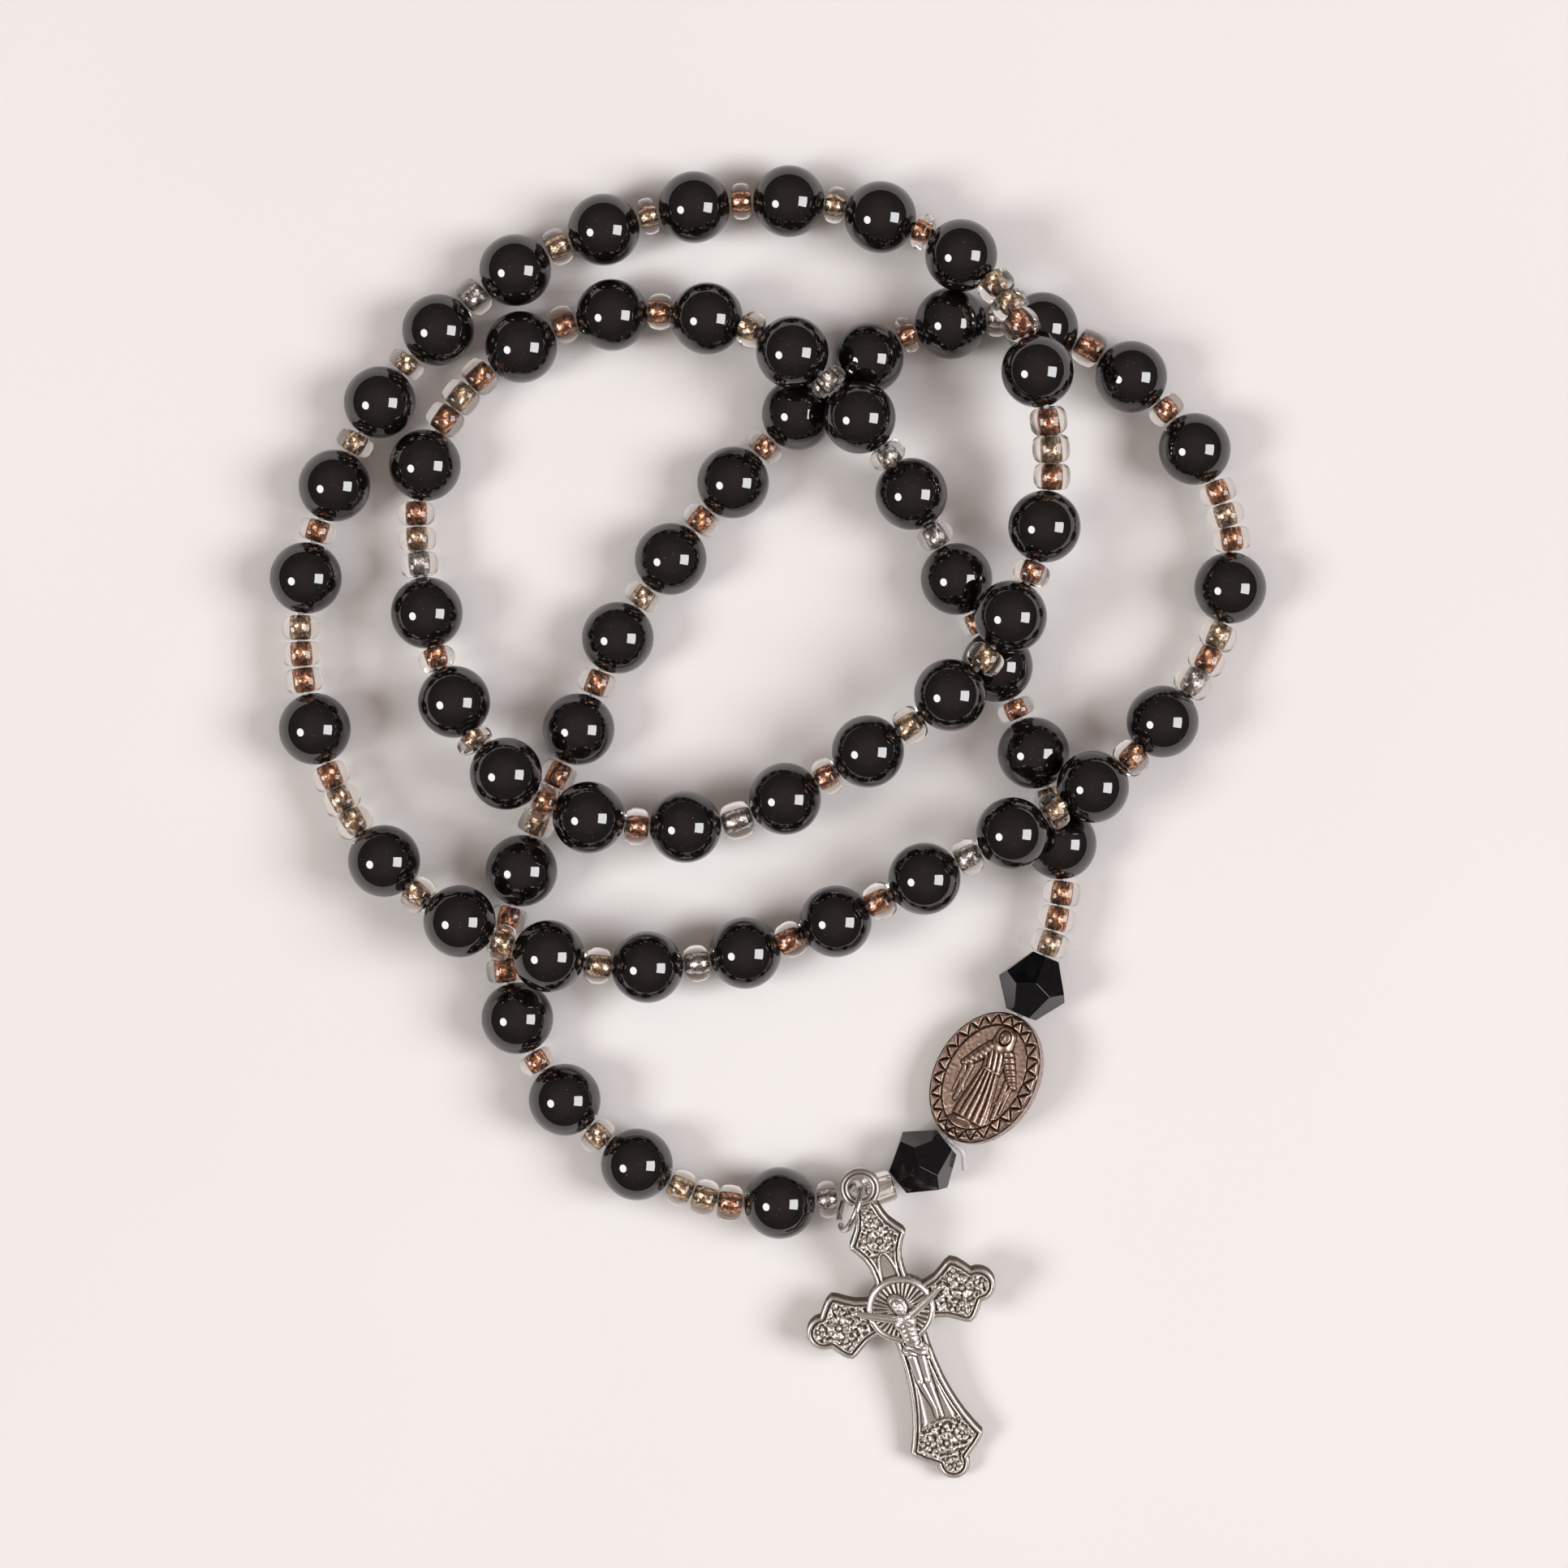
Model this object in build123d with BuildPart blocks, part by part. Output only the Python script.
from build123d import *
from math import atan2, cos, degrees, pi, radians, sin, tan
import os

# Rosary: fifty-nine round beads, glass spacers, two faceted beads and a medal on one
# closed stretch cord, with a crucifix on a jump ring.  It lies on a flat surface in
# overlapping loops.  Units are millimetres, +Z is up and Z = 0 is the surface.

# ---- driving dimensions -------------------------------------------------------------
bead_diameter = 8.0
bead_bore = 1.35
spacer_diameter = 4.2
spacer_bore = 1.6
spacer_rounding = 1.25
ring_spacer_length = 2.2
pendant_spacer_lengths = [2.5, 2.2]
pendant_group_length = 2.7
tube_diameter = 3.6
tube_length = 3.3
bicone_length = 7.0
bicone_facet_radius = 3.72
bicone_end_radius = 1.55
bicone_sides = 6
medal_length = 15.4
medal_width = 11.5
medal_thickness = 2.8
medal_bore = 1.9
medal_edge_rounding = 0.5
medal_roll = 17
cord_diameter = 0.7
bead_gap = 0.18
ring_gap = 3.05
first_gap = 0.06
medal_gap = 0.35
tube_gap = 0.45
knot_diameter = 1.3
tail_diameter = 0.6
tail_reach = 2.05
tail_fall = Vector(0.1, -2.0, -0.8)
ring_outer_diameter = 6.1
ring_wire = 0.7
eye_outer_diameter = 4.4
eye_hole_diameter = 2.6
eye_thickness = 1.0
cross_thickness = 1.9
halo_radius = 3.8
halo_rise = 0.3
eye_height = 14.4

# ---- lie of the cord ----------------------------------------------------------------
# From the knot through the lower faceted bead, the pendant, decades one to five, the
# upper faceted bead and the medal, back to the knot.
route_points = [
    (19.75, -35.68, 3.9),
    (14.6, -40.2, 3.9),
    (9.5, -41.8, 4.0),
    (1.8, -42.6, 4.0),
    (-5.6, -42.7, 4.0),
    (-15.5, -38.3, 4.0),
    (-23.0, -31.3, 4.0),
    (-28.2, -22.6, 4.0),
    (-29.8, -14.5, 4.0),
    (-27.8, -6.5, 4.0),
    (-25.3, 1.2, 4.0),
    (-21.2, 9.4, 4.0),
    (-17.3, 20.2, 4.0),
    (-7.8, 33.3, 4.0),
    (4.5, 46.8, 4.0),
    (16.0, 54.9, 4.0),
    (28.3, 56.2, 4.0),
    (41.0, 49.6, 4.0),
    (49.3, 39.0, 4.0),
    (52.3, 28.0, 4.0),
    (49.3, 18.0, 4.1),
    (39.6, 5.8, 6.7),
    (29.6, 0.0, 10.4),
    (18.5, -5.8, 9.2),
    (5.5, -12.3, 5.2),
    (-6.0, -15.9, 4.4),
    (-17.5, -16.6, 6.7),
    (-29.3, -13.9, 9.0),
    (-39.5, -8.2, 7.1),
    (-47.0, 0.5, 4.2),
    (-51.5, 12.5, 4.0),
    (-52.3, 25.0, 4.0),
    (-48.3, 38.0, 4.0),
    (-39.2, 53.0, 4.0),
    (-25.2, 63.6, 4.0),
    (-8.0, 68.6, 4.0),
    (7.0, 68.9, 4.2),
    (20.0, 64.0, 6.8),
    (26.6, 57.5, 9.6),
    (30.3, 48.0, 11.4),
    (31.6, 36.2, 8.5),
    (28.6, 25.5, 9.4),
    (22.2, 14.8, 11.2),
    (9.6, 6.6, 7.9),
    (-4.0, -0.9, 5.8),
    (-16.5, -0.8, 7.1),
    (-25.4, 1.8, 8.9),
    (-32.2, 7.8, 8.5),
    (-36.8, 17.0, 5.6),
    (-38.9, 27.8, 4.0),
    (-39.3, 38.8, 4.0),
    (-33.5, 48.6, 4.0),
    (-22.8, 55.8, 4.0),
    (-9.6, 56.7, 5.0),
    (2.7, 52.6, 9.2),
    (11.5, 43.0, 9.0),
    (18.5, 31.8, 4.2),
    (25.0, 18.0, 4.0),
    (30.3, 5.5, 4.0),
    (33.2, -4.0, 4.0),
    (32.0, -11.7, 4.0),
    (29.6, -18.0, 4.0),
    (27.4, -22.8, 3.9),
    (24.0, -29.5, 3.8),
    (20.15, -35.42, 3.9),
]

# Lengths of the single glass spacers between the beads of each decade.
decade_spacers = [
    [2.7, 2.2, 2.6, 2.1, 1.6, 1.8, 2.0, 3.0, 2.4],
    [2.7, 2.2, 2.6, 2.8, 2.4, 2.7, 2.8, 2.3, 2.7],
    [2.4, 2.2, 2.0, 2.5, 2.5, 2.0, 2.2, 2.1, 1.9],
    [2.4, 2.7, 2.8, 2.3, 3.3, 2.5, 2.2, 1.8, 2.3],
    [2.5, 2.5, 2.3, 2.1, 2.1, 2.5, 2.3, 2.1, 2.2],
]
# Lengths of the spacers in the groups of three before and after each decade.
lead_in_spacers = [2.75, 2.8, 2.75, 2.9, 2.9]
lead_out_spacers = [2.55, 2.75, 2.5, 2.65, 2.7]

os.makedirs("parts", exist_ok=True)


def corner_radii(points):
    """Arc radius at each corner: 0.45 of the shorter run over the tangent of half the turn."""
    radii = []
    for before, corner, after in zip(points, points[1:], points[2:]):
        run_in = Vector(corner) - Vector(before)
        run_out = Vector(after) - Vector(corner)
        half_turn = radians(run_in.get_angle(run_out)) / 2
        radii.append(0.45 * min(run_in.length, run_out.length) / tan(half_turn))
    return radii


radii = corner_radii(route_points)
with BuildLine() as route:
    FilletPolyline(*route_points, radius=radii)
cord_path = route.wires()[0]
print("cord length", round(cord_path.length, 2))
print("bend radii", [round(radius, 1) for radius in radii])


def on_path(distance):
    """Point of the cord's centre line at a distance from the knot."""
    return cord_path.position_at(distance, position_mode=PositionMode.LENGTH)


def seat(start, length):
    """Plane at the middle of a piece on the cord, with its Z along the piece's bore."""
    first = on_path(start)
    last = on_path(start + length)
    middle = on_path(start + length / 2)
    centre = (first + last + middle * 2) * 0.25
    along = (last - first).normalized()
    across = Vector(0, 0, 1).cross(along)
    return Plane(origin=centre, x_dir=across, z_dir=along)


def triplet(length):
    return [("glass", length)] * 3


# ---- stringing order from the knot --------------------------------------------------
strand = [("gap", first_gap), ("lower_bicone", bicone_length), ("gap", tube_gap - bead_gap)]
strand += [("tube", tube_length), ("gap", ring_gap), ("glass", ring_spacer_length)]
strand += [("our_father", bead_diameter)] + triplet(pendant_group_length)
for spacer in pendant_spacer_lengths:
    strand += [("pendant", bead_diameter), ("glass", spacer)]
strand += [("pendant", bead_diameter)] + triplet(pendant_group_length)
for decade, spacers in enumerate(decade_spacers):
    strand += [("our_father", bead_diameter)] + triplet(lead_in_spacers[decade])
    for spacer in spacers:
        strand += [("decade", bead_diameter), ("glass", spacer)]
    strand += [("decade", bead_diameter)] + triplet(lead_out_spacers[decade])
strand += [("upper_bicone", bicone_length), ("gap", medal_gap - bead_gap), ("medal", medal_length)]

seats = {kind: [] for kind, length in strand}
distance = 0
for kind, length in strand:
    if kind == "gap":
        distance += length - bead_gap
    else:
        seats[kind].append((seat(distance, length), length))
        distance += length
    distance += bead_gap
print("cord left between medal and knot", round(cord_path.length - distance, 2))


def finish(part, name):
    part.label = name
    export_step(part, f"parts/{name}.step")


# ---- round beads --------------------------------------------------------------------
def round_beads(places):
    with BuildPart(*places) as beads:
        Sphere(bead_diameter / 2)
        Cylinder(bead_bore / 2, bead_diameter, mode=Mode.SUBTRACT)
    return beads.part


decade_places = [place for place, length in seats["decade"]]
for index, place in enumerate(decade_places):
    finish(round_beads([place]), f"decade_{index // 10 + 1}_bead_{index % 10 + 1:02d}")
finish(round_beads([place for place, length in seats["our_father"]]), "our_father_beads")
finish(round_beads([place for place, length in seats["pendant"]]), "pendant_beads")


# ---- glass spacers ------------------------------------------------------------------
def glass_bead(place, length, diameter):
    with BuildPart(place) as bead:
        Cylinder(diameter / 2, length)
        fillet(bead.edges().filter_by(GeomType.CIRCLE), min(spacer_rounding, 0.45 * length))
        Cylinder(spacer_bore / 2, length, mode=Mode.SUBTRACT)
    return bead.part


glass_parts = [glass_bead(place, length, spacer_diameter) for place, length in seats["glass"]]
glass_parts += [glass_bead(place, length, tube_diameter) for place, length in seats["tube"]]
with BuildPart() as spacer_beads:
    add(glass_parts)
finish(spacer_beads.part, "spacer_beads")


# ---- faceted beads ------------------------------------------------------------------
def faceted_bead(place):
    """Two six-sided pyramids, half a facet apart, so the girdle zigzags."""
    slope = degrees(atan2(bicone_facet_radius - bicone_end_radius, bicone_length / 2))
    end_radius = bicone_end_radius / cos(pi / bicone_sides)
    lower_end = place.offset(-bicone_length / 2)
    upper_end = place.offset(bicone_length / 2)
    with BuildPart() as bead:
        with BuildSketch(lower_end):
            RegularPolygon(end_radius, bicone_sides)
        extrude(amount=bicone_length, taper=-slope)
        with BuildSketch(upper_end):
            RegularPolygon(end_radius, bicone_sides, rotation=180 / bicone_sides)
        extrude(amount=-bicone_length, taper=-slope, mode=Mode.INTERSECT)
        with BuildSketch(lower_end):
            Circle(bead_bore / 2)
        extrude(amount=bicone_length, mode=Mode.SUBTRACT)
    return bead.part


lower_place = seats["lower_bicone"][0][0]
upper_seat = seats["upper_bicone"][0][0]
upper_place = Plane(origin=upper_seat.origin, x_dir=upper_seat.x_dir, z_dir=-upper_seat.z_dir)
finish(faceted_bead(lower_place), "bicone_lower")
finish(faceted_bead(upper_place), "bicone_upper")

# ---- medal bead ---------------------------------------------------------------------
# Its bore runs along its length; its face looks up, rolled so that one edge stands proud.
bore_place = seats["medal"][0][0]
face_up = bore_place.x_dir.cross(bore_place.z_dir) * -1
face_normal = face_up.rotate(Axis((0, 0, 0), bore_place.z_dir), medal_roll)
medal_plane = Plane(origin=bore_place.origin, x_dir=bore_place.z_dir, z_dir=face_normal)
with BuildPart() as medal:
    with BuildSketch(medal_plane.offset(-medal_thickness / 2)):
        Ellipse(medal_length / 2, medal_width / 2)
    extrude(amount=medal_thickness)
    fillet(medal.edges(), medal_edge_rounding)
    with BuildSketch(bore_place.offset(-medal_length)):
        Circle(medal_bore / 2)
    extrude(amount=2 * medal_length, mode=Mode.SUBTRACT)
finish(medal.part, "medal")

# ---- cord and knot ------------------------------------------------------------------
with BuildPart() as stretch_cord:
    with BuildLine():
        add(route.line)
    with BuildSketch(Plane(origin=cord_path @ 0, z_dir=cord_path % 0)):
        Circle(cord_diameter / 2)
    sweep()
finish(stretch_cord.part, "stretch_cord")
section = pi * cord_diameter**2 / 4
print("cord volume", round(stretch_cord.part.volume, 2), "of", round(section * cord_path.length, 2))

# The knot sits between the medal and the lower faceted bead, half in the mouths of their
# bores.  Its tail comes out sideways, where the two beads part, and then hangs down.
medal_tip = bore_place.offset(medal_length / 2).origin
bicone_tip = lower_place.offset(-bicone_length / 2).origin
knot_centre = (medal_tip + bicone_tip) * 0.5
outward = Vector(0, 0, 1).cross(bore_place.z_dir + lower_place.z_dir).normalized()
tail_elbow = knot_centre + outward * tail_reach
with BuildPart() as cord_knot:
    with Locations(knot_centre):
        Sphere(knot_diameter / 2)
    with BuildLine() as tail:
        FilletPolyline(knot_centre, tail_elbow, tail_elbow + tail_fall, radius=1.5)
    with BuildSketch(Plane(origin=knot_centre, z_dir=outward)):
        Circle(tail_diameter / 2)
    sweep(path=tail.wires()[0])
finish(cord_knot.part, "cord_knot")
print("medal to faceted bead", round((medal_tip - bicone_tip).length, 2))
print("knot centre", knot_centre, "tail elbow", tail_elbow)

# ---- jump ring ----------------------------------------------------------------------
# It stands nearly upright on the cord, in the gap between the tube and the next bead.
eye_centre = Vector(10.1, -40.6, 6.9)
ring_centre = Vector(9.0, -42.8, 5.4)
ring_heading = 252
ring_tilt = -15
ring_along = Vector(cos(radians(ring_heading)), sin(radians(ring_heading)), 0)
ring_normal = Vector(0, 0, 1).cross(ring_along).rotate(Axis((0, 0, 0), ring_along), ring_tilt)
ring_mean_radius = (ring_outer_diameter - ring_wire) / 2
with BuildPart(Plane(origin=ring_centre, x_dir=ring_along, z_dir=ring_normal)) as jump_ring:
    Torus(ring_mean_radius, ring_wire / 2)
finish(jump_ring.part, "jump_ring")

# ---- crucifix -----------------------------------------------------------------------
# Drawn with its halo's centre at the origin, +X across and +Y up to the eye.
cross_heading = 18.8
cross_slope = 9.75
cross_roll = -5
cross_turn = Rotation(0, 0, cross_heading) * Rotation(cross_slope, cross_roll, 0)
halo_centre = eye_centre - (cross_turn * Pos(0, eye_height, 0)).position
cross_plane = Plane(Pos(*halo_centre) * cross_turn)

# Right half of each arm's outline, then the lobes at the ends as (height, radius).
side_arm = [(0, 3), (2.1, 3.4), (2.35, 4.6), (3.0, 5.8), (3.75, 6.9), (2.9, 8.1), (1.9, 8.8), (0, 8.8)]
foot_arm = [(0, 3), (1.8, 3.3), (1.85, 7), (2.3, 10.4), (3.1, 13.6), (4.2, 16.2), (1.8, 18.7), (0, 18.7)]
top_arm = [(0, 3), (1.8, 3.5), (1.85, 5.2), (2.3, 6.6), (3.25, 8.25), (1.8, 10.4), (1.3, 12.6), (0, 12.6)]
side_lobe = (8.95, 1.95)
foot_lobe = (18.7, 1.8)
top_lobe = (11.6, 1.3)


def lobed_arm(half_outline, lobe):
    """An arm mirrored in its own axis, with a round lobe near its end."""
    lobe_height, lobe_radius = lobe
    with BuildSketch(mode=Mode.PRIVATE) as arm:
        with BuildLine():
            Polyline(*half_outline)
            mirror(about=Plane.YZ)
        make_face()
        with Locations((0, lobe_height)):
            Circle(lobe_radius)
    return arm.sketch


with BuildPart() as crucifix:
    with BuildSketch(cross_plane.offset(-cross_thickness / 2)):
        add(lobed_arm(top_arm, top_lobe))
        add(lobed_arm(foot_arm, foot_lobe), rotation=180)
        add(lobed_arm(side_arm, side_lobe), rotation=90)
        add(lobed_arm(side_arm, side_lobe), rotation=-90)
        Circle(halo_radius)
    extrude(amount=cross_thickness)
    with BuildSketch(cross_plane.offset(cross_thickness / 2)):
        Circle(halo_radius)
    extrude(amount=halo_rise)
    with BuildSketch(cross_plane.offset(-eye_thickness / 2)):
        with Locations((0, eye_height)):
            Circle(eye_outer_diameter / 2)
    extrude(amount=eye_thickness)
    with BuildSketch(cross_plane.offset(-cross_thickness)):
        with Locations((0, eye_height)):
            Circle(eye_hole_diameter / 2)
    extrude(amount=2 * cross_thickness, mode=Mode.SUBTRACT)
finish(crucifix.part, "crucifix")

# ---- places of joints and loose ends ------------------------------------------------
print("eye", eye_centre, "halo", halo_centre)
print("cross up", cross_plane.y_dir, "cross right", cross_plane.x_dir)
print("ring centre", ring_centre, "normal", ring_normal)
